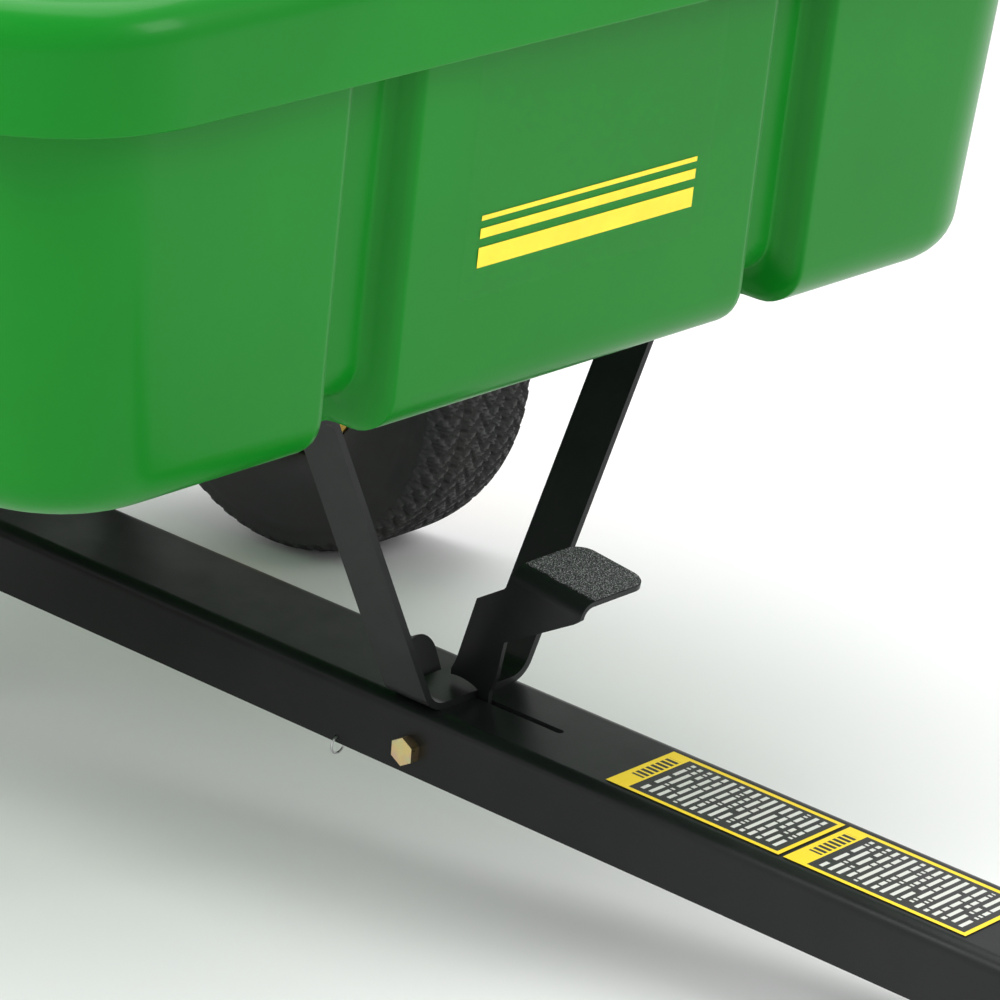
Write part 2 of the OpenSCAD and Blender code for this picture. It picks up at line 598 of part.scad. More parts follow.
// extension spring: a coil body between two end loops
wire_d = 1.4;
spring_d = 6.4;
loop_r = 5;
small_loop = 3.2;
spring_a = [-6, -spring_hole[0] + 5.5, spring_hole[1] - 0.5];
spring_b = [-tongue_w / 2 + tongue_t + 2.5, spring_y - 5, spring_z - 2];
module loop(p, r) translate(p) rotate([90, 0, 0]) rotate_extrude() translate([r, 0]) circle(d = wire_d, $fn = 24);
module latch_spring() color("silver") place() {
    v = spring_b - spring_a;
    n = norm(v);
    translate(spring_a) rotate([0, acos(v[2] / n), atan2(v[1], v[0])]) difference() {
        cylinder(d = spring_d, h = n);
        translate([0, 0, -1]) cylinder(d = spring_d - 2 * wire_d, h = n + 2);
    }
    loop([-(tongue_w - tongue_t) / 2, spring_y, spring_z - loop_r], loop_r);
    loop([0, -spring_hole[0], spring_hole[1] + small_loop], small_loop);
}

tongue_channel();
hitch_jaw_upper();
hitch_jaw_lower();
hitch_bolts();
hitch_nuts();
axle();
axle_washers();
cotter_pins();
inner_spacers();
outer_spacers();
latch_bolt();
latch_nut();
latch_spacers();
latch_spring();
tongue_labels();
tub_shell();
latch_strap();
strap_bolts();
strap_nuts();
strap_plates();
axle_bracket_left();
axle_bracket_right();
bracket_bolts();
bracket_nuts();
bracket_plates();
bracket_bushings();
front_decal();
tyre_left();
rim_left();
hub_left();
bearings_left();
rim_bolts_left();
valve_left();
tyre_right();
rim_right();
hub_right();
bearings_right();
rim_bolts_right();
valve_right();
latch_lever();
grip_pad();
lever_bushing();
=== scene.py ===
"""The looks of a tow behind dump cart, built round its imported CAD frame.

The cart's own level frame is used for every new shape: X to the cart's left, Y to the rear, Z up,
zero on the tongue's top face at the front edge of the latch strap. stand() then pitches a shape
about the axle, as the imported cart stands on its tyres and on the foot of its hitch.
"""

import json
import math

import bpy
import numpy as np
from bpy.props import FloatProperty, FloatVectorProperty, IntProperty, PointerProperty
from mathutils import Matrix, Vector


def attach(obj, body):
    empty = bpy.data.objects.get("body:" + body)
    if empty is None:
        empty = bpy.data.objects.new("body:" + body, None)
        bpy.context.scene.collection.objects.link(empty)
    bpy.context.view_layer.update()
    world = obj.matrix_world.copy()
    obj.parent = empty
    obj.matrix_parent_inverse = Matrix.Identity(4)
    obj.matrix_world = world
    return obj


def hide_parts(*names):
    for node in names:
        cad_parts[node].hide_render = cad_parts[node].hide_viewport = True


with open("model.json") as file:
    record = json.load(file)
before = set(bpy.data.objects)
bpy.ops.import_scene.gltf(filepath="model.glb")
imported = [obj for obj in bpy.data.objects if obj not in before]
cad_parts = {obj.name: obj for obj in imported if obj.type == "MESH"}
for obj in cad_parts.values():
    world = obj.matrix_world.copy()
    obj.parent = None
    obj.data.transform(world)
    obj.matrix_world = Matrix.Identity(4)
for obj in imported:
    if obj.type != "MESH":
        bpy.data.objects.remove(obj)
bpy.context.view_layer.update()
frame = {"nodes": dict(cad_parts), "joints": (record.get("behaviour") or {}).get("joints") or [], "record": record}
RECORD = frame["record"]
JOINTS = {j["name"]: j for j in frame["joints"]}
AXLE = np.array(JOINTS["tub_tilt"]["pos_m"])
PIN_AXIS = RECORD["mounts"][0]["axis"]
PITCH = math.atan2(-PIN_AXIS[1], PIN_AXIS[2])
SHEET_CELLS = (24, 16)
SHEET_PROUD = 0.0005
SENSOR = 36.0
SKY_STRENGTH = 0.95
LAMP_AIM = (0.0, 0.0, 0.3)
LAMPS = (
    {"name": "overhead", "place": (0.3, 0.2, 2.6), "size": 2.0, "power": 40.0},
    {"name": "key", "place": (-2.2, 0.4, 2.2), "size": 0.9, "power": 34.0},
    {"name": "front_fill", "place": (0.9, -2.6, 2.0), "size": 1.2, "power": 26.0},
)

bl_info = {
    "name": "Tow behind cart",
    "version": (1, 0, 0),
    "blender": (4, 5, 0),
    "location": "3D View > Sidebar > Cart",
    "description": "Builds the tub, tyres, sheets, spring and finishes of a tow behind dump cart",
    "category": "Add Mesh",
}


def length(name, description, default):
    """A length in metres, as a user would set it."""
    return FloatProperty(name=name, description=description, default=default, unit="LENGTH", precision=4)


def angle(name, description, degrees):
    """An angle, given in degrees."""
    return FloatProperty(name=name, description=description, default=math.radians(degrees), unit="ROTATION")


def colour(name, description, default):
    """A colour in linear light."""
    return FloatVectorProperty(name=name, description=description, default=default, size=3,
                               subtype="COLOR", min=0.0, max=1.0)


def point(name, description, default):
    """A point in metres, in the cart's level frame unless its description says otherwise."""
    return FloatVectorProperty(name=name, description=description, default=default, size=3,
                               subtype="XYZ", precision=4)


class CartTubSizes(bpy.types.PropertyGroup):
    width: length("Width", "Width over the rim", 0.844)
    long: length("Length", "Length over the rim", 1.040)
    height: length("Height", "From the tub's underside to the top of its rim", 0.269)
    lift: length("Lift", "Underside of the tub above the tongue's top face", 0.192)
    ahead: length("Ahead", "Front of the rim ahead of the latch strap", 0.083)
    wall: length("Wall", "Wall thickness", 0.005)
    overhang: length("Overhang", "Reach of the rolled rim past the wall", 0.026)
    skirt: length("Skirt", "Depth of the rim's skirt", 0.060)
    roll: length("Roll", "Radius of the roll along the rim", 0.020)
    corner: length("Corner", "Corner radius of the walls in plan", 0.070)
    fillet: length("Fillet", "Fillet between the walls and the floor", 0.025)
    lean_front: angle("Front lean", "Lean of the front wall", 2.5)
    lean_side: angle("Side lean", "Lean of the side walls", 5.5)
    lean_rear: angle("Rear lean", "Lean of the rear wall", 12.0)
    groove_at: length("Groove place", "Centre of each groove from the middle", 0.162)
    groove_wide: length("Groove width", "Width of a groove at the wall", 0.052)
    groove_floor: length("Groove floor", "Width of a groove at its floor", 0.030)
    groove_deep: length("Groove depth", "Depth of a groove", 0.015)
    groove_rise: length("Groove rise", "Rise of a groove under the tub", 0.017)
    groove_end: length("Groove end", "End of a groove under the tub, ahead of the strap", 0.008)
    film_wide: length("Film width", "Width of the film on the front wall", 0.190)
    film_up: length("Film place", "Film's lower edge above the tub's underside", 0.066)
    film_gap: length("Film gap", "Film's upper edge below the rim's skirt", 0.006)
    green: colour("Green", "Colour of the moulded tub", (0.0, 0.185, 0.008))


class CartWheelSizes(bpy.types.PropertyGroup):
    radius: length("Radius", "Outer radius of a tyre", 0.140)
    width: length("Width", "Section width of a tyre", 0.102)
    seat: length("Seat", "Radius of the rim's bead seat", 0.060)
    tread: length("Tread depth", "Depth of the tread's grooves", 0.0045)
    blocks: IntProperty(name="Blocks", description="Tread pitches round a tyre", default=64, min=12)


class CartTongueSizes(bpy.types.PropertyGroup):
    axle_back: length("Axle back", "Distance from the latch strap back to the axle", 0.480)
    axle_drop: length("Axle drop", "Axle centre below the tongue's top face", 0.015)
    label_wide: length("Label width", "Width of a label", 0.055)
    label_long: length("Label length", "Length of a label", 0.116)
    label_gap: length("Label gap", "Gap between the two labels", 0.003)
    label_ahead: length("Label place", "Rear edge of the first label ahead of the strap", 0.115)
    wire: length("Wire", "Wire diameter of the return spring", 0.0014)
    coil: length("Coil", "Outer diameter of the return spring", 0.0064)
    loop: length("Loop", "Radius of the spring's loop in the tongue", 0.005)
    small_loop: length("Small loop", "Radius of the spring's loop in the lever", 0.0032)
    loop_at: point("Loop place", "Centre of the loop in the tongue", (-0.0366, 0.066, -0.0413))
    small_loop_at: point("Small loop place", "Centre of the loop in the lever", (0.0, 0.0035, -0.0083))
    coil_from: point("Coil start", "End of the coils by the lever", (-0.006, 0.009, -0.012))
    coil_to: point("Coil end", "End of the coils by the tongue", (-0.0326, 0.061, -0.0383))
    coil_pitch: FloatProperty(name="Coil pitch", description="Rise of a turn in wire diameters", default=1.06)


class CartStageSizes(bpy.types.PropertyGroup):
    azimuth: angle("Azimuth", "Turn of the camera about the cart", -48.02)
    elevation: angle("Elevation", "Height of the camera above the horizon", 17.80)
    distance: length("Distance", "From the camera to the point that it looks at", 2.703)
    lens: FloatProperty(name="Lens", description="Focal length in millimetres", default=181.0)
    aim: point("Aim", "Point of the standing frame that the camera looks at", (0.0318, -0.1260, 0.2095))
    floor_span: length("Floor", "Side of the floor", 60.0)


# ---- shapes -------------------------------------------------------------------------------------

def stand(points):
    """Level frame to standing frame: shift so that the axle is zero, turn about X by the cart's
    pitch, and shift to the axle's packed place."""
    tongue = bpy.context.scene.cart_tongue
    p = np.asarray(points, float) - [0.0, tongue.axle_back, -tongue.axle_drop]
    c, s = math.cos(PITCH), math.sin(PITCH)
    turned = np.stack([p[..., 0], c * p[..., 1] - s * p[..., 2], s * p[..., 1] + c * p[..., 2]], -1)
    return turned + AXLE


def ease(x):
    """Smooth step: 3 x^2 - 2 x^3, with x held between 0 and 1."""
    x = np.clip(x, 0.0, 1.0)
    return x * x * (3.0 - 2.0 * x)


def spline(points, steps):
    """Catmull-Rom curve through points: on each span the four nearest points are blended by the
    cubic whose slopes are half the chord between a point's two neighbours."""
    p = np.asarray(points, float)
    p = np.vstack([2 * p[0] - p[1], p, 2 * p[-1] - p[-2]])
    a, b, c, d = p[:-3, None], p[1:-2, None], p[2:-1, None], p[3:, None]
    t = np.linspace(0.0, 1.0, steps, endpoint=False)[None, :, None]
    curve = 0.5 * (2 * b + (c - a) * t + (2 * a - 5 * b + 4 * c - d) * t**2 + (3 * b - a - 3 * c + d) * t**3)
    return np.vstack([curve.reshape(-1, p.shape[1]), p[-2]])


def grid_faces(rows, cols, close_rows=False, close_cols=False):
    """Quads of a grid whose vertex number is row * cols + column, closed round either way."""
    r = np.arange(rows if close_rows else rows - 1)
    c = np.arange(cols if close_cols else cols - 1)
    r0, c0 = np.meshgrid(r, c, indexing="ij")
    r1, c1 = (r0 + 1) % rows, (c0 + 1) % cols
    return np.stack([r0 * cols + c0, r1 * cols + c0, r1 * cols + c1, r0 * cols + c1], -1).reshape(-1, 4)


def piece(name, vertices, faces, material, body, uv=None):
    """A smooth mesh object from arrays of vertices and faces, at the origin, riding on a CAD body."""
    mesh = bpy.data.meshes.new(name)
    mesh.from_pydata(vertices.tolist(), [], [list(map(int, f)) for f in faces])
    mesh.polygons.foreach_set("use_smooth", np.full(len(mesh.polygons), True))
    if uv is not None:
        corner = np.zeros(len(mesh.loops), np.int32)
        mesh.loops.foreach_get("vertex_index", corner)
        mesh.uv_layers.new(name="Face").data.foreach_set("uv", uv[corner].astype(np.float32).ravel())
    mesh.update()
    obj = bpy.data.objects.new(name, mesh)
    bpy.context.scene.collection.objects.link(obj)
    mesh.materials.append(material)
    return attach(obj, body)


def even_normals(obj):
    """Weights the normals by face area, so that flats beside a bend stay flat."""
    weigh = obj.modifiers.new("Even normals", "WEIGHTED_NORMAL")
    weigh.mode = "FACE_AREA"
    weigh.weight = 50


def ring_line(size):
    """Places round a rounded rectangle, counter-clockwise from the front wall's right end, as a
    function of a station's half width, front, rear and corner radius. Straights across the cart
    hold fixed places round each groove, and the corners are quarter circles."""
    g = size.groove_at
    edge = np.concatenate([np.linspace(-1.45, -0.5, 9), np.linspace(-0.4, 0.4, 5), np.linspace(0.5, 1.45, 9)])
    right = -g + edge * size.groove_wide / 2
    fixed = np.concatenate([right, np.linspace(right[-1], -right[-1], 9)[1:-1], -right[::-1]])
    outer = np.linspace(0.0, 1.0, 6, endpoint=False)
    along = np.linspace(0.0, 1.0, 18, endpoint=False)[1:]
    quarter = np.radians(np.linspace(0.0, 90.0, 15))

    def at(half, front, rear, corner):
        """All stations at once: each argument is a column, one row per station."""
        cx = half - corner
        y0, y1 = front + corner, rear - corner
        low = fixed[0]
        across = np.concatenate([
            -cx + outer * (low + cx), np.broadcast_to(fixed, (len(half), len(fixed))),
            -low + (outer + outer[1]) * (cx + low)], 1)
        arcs = []
        for k, (sx, yc) in enumerate([(1, y0), (1, y1), (-1, y1), (-1, y0)]):
            a = quarter + math.radians(90.0 * k - 90.0)
            arcs.append(np.stack([sx * cx + corner * np.cos(a), yc + corner * np.sin(a)], -1))
        side = y0 + along * (y1 - y0)
        front_wall = np.stack([across, np.broadcast_to(front, across.shape)], -1)[:, 1:-1]
        rear_wall = np.stack([-across, np.broadcast_to(rear, across.shape)], -1)[:, 1:-1]
        left_wall = np.stack([np.broadcast_to(half, side.shape), side], -1)
        right_wall = np.stack([np.broadcast_to(-half, side.shape), side[:, ::-1]], -1)
        walls = (front_wall, left_wall, rear_wall, right_wall)
        return np.concatenate([line for pair in zip(walls, arcs) for line in pair], 1)

    return at


def tub_stations(s):
    """The tub's section as rows of (offset, height, leaning), from the middle of the floor up the
    inner wall, over the rolled rim, down the skirt, back up inside it and down the outer wall.
    The offset is outwards from the outer wall, whose face leans where leaning is 1. Fillets and
    the roll are quarter circles. With the rows comes how many of them are on the inner side."""
    top, floor = s.lift + s.height, s.lift + s.wall
    inner_r = s.fillet - s.wall
    q = np.linspace(0.0, np.pi / 2, 9)
    level = [(-s.wall - inner_r - d, floor, 1) for d in (0.040, 0.014, 0.005)]
    bend = [(-s.wall - inner_r * (1 - math.sin(a)), floor + inner_r * (1 - math.cos(a)), 1) for a in q]
    lip = 0.004
    wall_up = [(-s.wall, z, 1) for z in np.linspace(floor + inner_r, top - lip, 16)[1:]]
    over_lip = [(-s.wall + lip * (1 - math.cos(a)), top - lip + lip * math.sin(a), 1) for a in q[1::2]]
    roll_at = s.overhang - s.roll
    roll = [(roll_at + s.roll * math.sin(a), top - s.roll * (1 - math.cos(a)), 0)
            for a in np.linspace(0.0, np.pi / 2, 13)]
    foot, nib = top - s.skirt, 0.0012
    skirt = [(s.overhang, z, 0) for z in (top - s.roll - 0.004, foot + 0.006, foot + nib)]
    edge = [(s.overhang - nib * 0.3, foot + nib * 0.3, 0), (s.overhang - nib, foot, 0),
            (s.overhang - s.wall + nib, foot, 0), (s.overhang - s.wall + nib * 0.3, foot + nib * 0.3, 0)]
    inside = [(s.overhang - s.wall, z, 0) for z in (foot + nib, foot + 0.006, top - s.roll)]
    hollow = [(roll_at + (s.roll - s.wall) * math.cos(a), top - s.roll + (s.roll - s.wall) * math.sin(a), 0)
              for a in q[1:]]
    wall_down = [(0.0, z, 1) for z in np.linspace(top - s.wall - 0.001, s.lift + s.fillet, 22)]
    under = [(-s.fillet * (1 - math.cos(a)), s.lift + s.fillet * (1 - math.sin(a)), 1) for a in q[1:]]
    flat = [(-s.fillet - d, s.lift, 1) for d in (0.003, 0.0075, 0.0115, 0.0155, 0.020, 0.030, 0.045)]
    rows = [*level, *bend, *wall_up, *over_lip, *roll, *skirt, *edge, *inside, *hollow, *wall_down,
            *under, *flat]
    inner = len(level) + len(bend) + len(wall_up) + len(over_lip)
    return np.array(rows, float), inner


def groove_shift(s, p, inner, leaning):
    """Sinks the four grooves into the walls. Across the cart a groove is a trapezoid with eased
    edges about its centre line. In front it moves wall, fillet and floor back and up together, and
    fades under the rim and past its end below the tub; at the rear it moves the wall forward."""
    x, y, z = p[..., 0], p[..., 1], p[..., 2]
    top = s.lift + s.height
    rim_gap, rim_fade = 0.008, 0.030
    rise_below, rise_fade = 0.20, 0.14
    end_early, end_fade = 0.004, 0.005
    rear_gap, rear_fade = 0.008, 0.016
    front_zone, rear_zone = 0.1, 0.5
    inner_share, rear_share = 0.7, 0.7
    widen = np.where(np.arange(len(p)) < inner, inner_share * s.wall, 0.0)[:, None]
    half, flat = s.groove_wide / 2 + widen, s.groove_floor / 2 + widen
    across = ease((half - np.abs(np.abs(x) - s.groove_at)) / (half - flat)) * leaning
    under_rim = ease((top - rim_gap - z) / rim_fade)
    in_front = ease((0.020 - y) / 0.040) * (y < front_zone)
    back = s.groove_deep * across * under_rim * in_front
    low = ease((s.lift + rise_below - z) / rise_fade)
    ended = ease((-s.groove_end + end_early - (y + back)) / end_fade)
    up = s.groove_rise * across * low * ended * (y < front_zone)
    behind = ease((z - s.lift - s.fillet - rear_gap) / rear_fade) * (y > rear_zone)
    flat_rear = np.abs(x) < s.width / 2 - s.overhang - s.corner
    ahead = rear_share * s.groove_deep * across * under_rim * behind * flat_rear
    return p + np.stack([np.zeros_like(x), back - ahead, up], -1)


def tub_surface(s):
    """Closed shell: each station of tub_stations() is carried round the rounded rectangle that its
    offset gives, the grooves are sunk, and one pole in the middle closes the floor on each side."""
    rows, inner = tub_stations(s)
    offset, z, leaning = (rows[:, i:i + 1] for i in range(3))
    down = (s.lift + s.height - z) * leaning
    half = s.width / 2 - s.overhang - down * math.tan(s.lean_side) + offset
    front = -(s.ahead - s.overhang) + down * math.tan(s.lean_front) - offset
    rear = s.long - s.ahead - s.overhang - down * math.tan(s.lean_rear) + offset
    corner = np.maximum(s.corner + offset, 0.004)
    plan = ring_line(s)(half, front, rear, corner)
    p = np.concatenate([plan, np.broadcast_to(z[:, None], plan.shape[:2] + (1,))], -1)
    p = groove_shift(s, p, inner, leaning)
    n, m = p.shape[:2]
    middle = (s.long - 2 * s.ahead) / 2
    poles = np.array([[0, middle, rows[0, 1]], [0, middle, rows[-1, 1]]])
    k = np.arange(m)
    near = np.stack([np.full(m, n * m), k, (k + 1) % m], -1)
    far = np.stack([(n - 1) * m + (k + 1) % m, (n - 1) * m + k, np.full(m, n * m + 1)], -1)
    quads = grid_faces(n, m, close_cols=True)
    return stand(np.vstack([p.reshape(-1, 3), poles])), quads.tolist() + near.tolist() + far.tolist()


def tyre_surface(s, centre):
    """Closed tyre: its section is a spline from bead to bead over the crown and a plain inner
    line back, turned about X. Lateral grooves zigzag over the crown where the turn's phase plus
    a triangle wave of the side place falls near a whole number, and they widen at the shoulders.
    Short sipes and two wavy grooves round the tyre lie between them, and a raised ring marks the
    side wall."""
    r, w, seat = s.radius, s.width / 2, s.seat
    k = (r - seat) / 0.080
    crown_half, crown_drop = 0.90 * w, 0.0055
    ring_at, ring_wide, ring_proud = 0.86 * r, 0.0016, 0.0009
    swing, shoulder, wavy_at, wavy_half = 0.9, 0.78, 0.42, 0.05
    side = [(seat + 0.0004 * k, 0.53 * w), (seat + 0.0005, 0.71 * w), (seat + 0.0104 * k, 0.745 * w),
            (seat + 0.0125 * k, 0.86 * w), (seat + 0.020 * k, 0.955 * w), (seat + 0.034 * k, 0.995 * w),
            (seat + 0.054 * k, 0.985 * w), (seat + 0.066 * k, 0.955 * w), (r - 0.008, 0.935 * w)]
    wall = spline(side, 4)
    wall[:, 1] += ring_proud * np.exp(-(((wall[:, 0] - ring_at) / ring_wide) ** 2))
    q = np.linspace(1.0, -1.0, 41)
    crown = np.stack([r - crown_drop * np.abs(q) ** 5, q * crown_half], -1)
    inner = [(seat + 0.070 * k, -0.4 * w), (seat + 0.070 * k, 0.4 * w), (seat + 0.050 * k, 0.86 * w),
             (seat + 0.026 * k, 0.84 * w), (seat + 0.012 * k, 0.62 * w)]
    inner = [(a, -b) for a, b in inner[:1:-1]] + inner[:1] + inner[1:]
    mirror = wall[::-1] * [1, -1]
    section = np.vstack([wall, crown, mirror, inner])
    is_crown = np.zeros(len(section), bool)
    is_crown[len(wall):len(wall) + len(crown)] = True
    steps = s.blocks * 12
    turn = np.arange(steps) / steps
    x = section[:, 1]
    place = x / crown_half
    wave = np.abs(((place * 2.5 + 0.25) % 1.0) - 0.5) * 2.0
    phase = (turn[:, None] * s.blocks + swing * wave[None]) % 1.0
    near = np.minimum(phase, 1 - phase)
    wide = np.where(np.abs(place) > shoulder, 0.24, 0.15)
    lateral = ease((wide - near) / 0.07)
    sipe = 0.5 * ease((0.055 - np.abs(phase - 0.5)) / 0.03) * (np.abs(((place * 5) % 1.0) - 0.5) < 0.3)
    wavy = ease((wavy_half - np.abs(np.abs(place) - wavy_at - 0.05 * (wave - 0.5))) / 0.03)
    sunk = s.tread * np.maximum(np.maximum(lateral, sipe), wavy * 0.9) * is_crown
    radius = section[None, :, 0] - sunk
    a = 2 * np.pi * turn[:, None]
    p = np.stack([np.broadcast_to(x, radius.shape), radius * np.cos(a), radius * np.sin(a)], -1)
    quads = grid_faces(steps, len(section), close_rows=True, close_cols=True)
    return p.reshape(-1, 3) + centre, quads[:, ::-1]


def sweep(path, across, radius, sides=8, closed=False):
    """Tube along a path: at each point a circle in the plane of the two vectors square to the
    path, the first of them square to a given direction. An open tube's ends close on a pole."""
    tangent = np.gradient(path, axis=0)
    if closed:
        tangent = np.roll(path, -1, 0) - np.roll(path, 1, 0)
    tangent /= np.linalg.norm(tangent, axis=1, keepdims=True)
    first = np.cross(tangent, across)
    first /= np.linalg.norm(first, axis=1, keepdims=True)
    second = np.cross(tangent, first)
    a = 2 * np.pi * np.arange(sides) / sides
    circle = np.cos(a)[None, :, None] * first[:, None] + np.sin(a)[None, :, None] * second[:, None]
    p = (path[:, None] + radius * circle).reshape(-1, 3)
    n = len(path)
    faces = grid_faces(n, sides, close_rows=closed, close_cols=True)[:, ::-1].tolist()
    if not closed:
        k = np.arange(sides)
        p = np.vstack([p, path[:1], path[-1:]])
        faces += np.stack([np.full(sides, n * sides), (k + 1) % sides, k], -1).tolist()
        end = (n - 1) * sides
        faces += np.stack([np.full(sides, n * sides + 1), end + k, end + (k + 1) % sides], -1).tolist()
    return p, faces


# ---- materials ----------------------------------------------------------------------------------

class Value:
    """A number that a shader works out: its operators add Math nodes."""

    def __init__(self, tree, socket):
        self.tree = tree
        self.socket = socket

    def math(self, operation, *values):
        node = self.tree.nodes.new("ShaderNodeMath")
        node.operation = operation
        for slot, value in zip(node.inputs, values):
            if isinstance(value, Value):
                self.tree.links.new(value.socket, slot)
            else:
                slot.default_value = value
        return Value(self.tree, node.outputs[0])

    def __add__(self, other):
        return self.math("ADD", self, other)

    def __rsub__(self, other):
        return self.math("SUBTRACT", other, self)

    def __mul__(self, other):
        return self.math("MULTIPLY", self, other)

    def __lt__(self, other):
        return self.math("LESS_THAN", self, other)

    def __gt__(self, other):
        return self.math("GREATER_THAN", self, other)

    def whole(self):
        return self.math("FLOOR", self)

    def part(self):
        return self.math("FRACT", self)

    def between(self, low, high):
        return (self > low) * (self < high)


class Finish:
    """A material with one Principled shader, and short ways to add the nodes that feed it."""

    def __init__(self, name, **constants):
        self.material = bpy.data.materials.new(name)
        self.material.use_nodes = True
        self.tree = self.material.node_tree
        self.shader = self.tree.nodes["Principled BSDF"]
        for key, value in constants.items():
            self.shader.inputs[key.replace("_", " ")].default_value = value

    def node(self, kind, settings=None, inputs=None, output=0):
        """Adds a node: its settings first, then the values or links of its sockets."""
        node = self.tree.nodes.new(kind)
        for key, value in (settings or {}).items():
            setattr(node, key, value)
        for key, value in (inputs or {}).items():
            if isinstance(value, Value):
                self.tree.links.new(value.socket, node.inputs[key])
            else:
                node.inputs[key].default_value = value
        return Value(self.tree, node.outputs[output])

    def feed(self, name, value):
        self.tree.links.new(value.socket, self.shader.inputs[name])

    def place(self, stretch=(1, 1, 1)):
        """Object coordinates, stretched along each axis."""
        where = self.node("ShaderNodeTexCoord", output="Object")
        return self.node("ShaderNodeMapping", inputs={"Vector": where, "Scale": stretch})

    def noise(self, scale, detail=3.0, rough=0.55, stretch=(1, 1, 1)):
        return self.node("ShaderNodeTexNoise", inputs={
            "Vector": self.place(stretch), "Scale": scale, "Detail": detail, "Roughness": rough})

    def mix(self, share, first, second):
        """A colour between two, by a share from 0 to 1."""
        return self.node("ShaderNodeMix", {"data_type": "RGBA"}, {0: share, 6: first, 7: second}, output=2)

    def span(self, value, low, high, to_low, to_high):
        return self.node("ShaderNodeMapRange", inputs={
            "Value": value, "From Min": low, "From Max": high, "To Min": to_low, "To Max": to_high})

    def bump(self, height, strength, distance):
        self.feed("Normal", self.node("ShaderNodeBump", inputs={
            "Height": height, "Strength": strength, "Distance": distance}))


def rgba(*rgb):
    return (*rgb, 1.0)


def moulded_green(green):
    """Rotomoulded plastic: clean green with faint cloudiness, a soft sheen and fine orange peel."""
    f = Finish("moulded_green", Specular_IOR_Level=0.14, Coat_Roughness=0.14, Coat_Weight=0.10)
    cloud = f.noise(4.0, 4.0)
    f.feed("Base Color", f.mix(f.span(cloud, 0.3, 0.7, 0, 1), rgba(*(c * 0.90 for c in green)),
                               rgba(*(min(1, c * 1.10) for c in green))))
    f.feed("Roughness", f.span(f.noise(9.0, 5.0), 0.25, 0.75, 0.27, 0.37))
    f.bump(f.noise(520.0, 2.0) * 0.6 + f.noise(60.0, 2.0) * 0.4, 0.10, 0.0006)
    return f.material


def satin_black():
    """Powder-coated steel: near black, finely pebbled, with a slightly uneven sheen."""
    f = Finish("satin_black_steel", Specular_IOR_Level=0.22)
    cloud = f.noise(7.0, 4.0)
    f.feed("Base Color", f.mix(f.span(cloud, 0.3, 0.7, 0, 1), rgba(0.005, 0.0055, 0.006),
                               rgba(0.010, 0.0105, 0.011)))
    f.feed("Roughness", f.span(f.noise(24.0, 4.0), 0.3, 0.7, 0.30, 0.42))
    f.bump(f.noise(900.0, 2.0), 0.12, 0.0004)
    return f.material


def zinc_yellow():
    """Yellow zinc plate: brassy, drifting to rose and green from one spot to the next."""
    f = Finish("zinc_yellow_plate", Metallic=1.0)
    hue = f.noise(85.0, 2.0)
    warm = f.mix(f.span(hue, 0.35, 0.65, 0, 1), rgba(0.74, 0.58, 0.26), rgba(0.68, 0.44, 0.34))
    f.feed("Base Color", f.mix(f.span(f.noise(160.0, 1.0), 0.5, 0.8, 0, 0.6), warm, rgba(0.55, 0.62, 0.36)))
    f.feed("Roughness", f.span(f.noise(300.0), 0.3, 0.7, 0.26, 0.42))
    f.bump(f.noise(1400.0), 0.1, 0.0002)
    return f.material


def turned_steel(name, tone):
    """Bright steel with fine rings from turning, and a slight grey mottle."""
    f = Finish(name, Metallic=1.0)
    mottle = f.noise(40.0, 4.0)
    f.feed("Base Color", f.mix(mottle, rgba(tone * 0.8, tone * 0.8, tone * 0.82), rgba(tone, tone, tone)))
    rings = f.noise(60.0, 3.0, stretch=(22, 1, 1))
    f.feed("Roughness", f.span(rings, 0.3, 0.7, 0.22, 0.40))
    f.bump(rings, 0.12, 0.0003)
    return f.material


def rim_yellow():
    """Gloss yellow paint on pressed steel, thin orange peel and a few duller patches."""
    f = Finish("rim_yellow_paint", IOR=1.5, Coat_Roughness=0.08, Coat_Weight=0.5)
    f.feed("Base Color", f.mix(f.noise(14.0, 4.0), rgba(0.80, 0.42, 0.004), rgba(0.90, 0.52, 0.010)))
    f.feed("Roughness", f.span(f.noise(30.0), 0.3, 0.7, 0.26, 0.42))
    f.bump(f.noise(420.0, 2.0), 0.08, 0.0005)
    return f.material


def tyre_rubber():
    """Matte rubber, a little browner and duller where dust lies, with a fine grain."""
    f = Finish("tyre_rubber", IOR=1.45)
    dust = f.noise(26.0, 5.0)
    f.feed("Base Color", f.mix(f.span(dust, 0.4, 0.75, 0, 1), rgba(0.016, 0.016, 0.017),
                               rgba(0.034, 0.033, 0.031)))
    f.feed("Roughness", f.span(dust, 0.3, 0.7, 0.58, 0.78))
    f.bump(f.noise(700.0, 3.0), 0.25, 0.0005)
    return f.material


def plain_nylon():
    """Unfilled nylon: milky, slightly yellow in places, with a soft sheen."""
    f = Finish("natural_nylon", IOR=1.53, Subsurface_Weight=0.1)
    f.feed("Base Color", f.mix(f.noise(60.0, 3.0), rgba(0.60, 0.59, 0.53), rgba(0.72, 0.71, 0.66)))
    f.feed("Roughness", f.span(f.noise(200.0), 0.3, 0.7, 0.38, 0.52))
    return f.material


def grit_strip():
    """Anti-slip grit: mineral grains from black to pale grey in a dark binder."""
    f = Finish("grip_grit", IOR=1.5)
    cells = f.node("ShaderNodeTexVoronoi", inputs={"Vector": f.place(), "Scale": 950.0})
    speck = f.noise(1300.0, 2.0)
    f.feed("Base Color", f.mix(f.span(speck, 0.50, 0.66, 0, 1), rgba(0.022, 0.023, 0.024),
                               rgba(0.34, 0.34, 0.35)))
    f.feed("Roughness", f.span(speck, 0.4, 0.7, 0.85, 0.40))
    f.bump(1.0 - cells, 0.9, 0.0009)
    return f.material


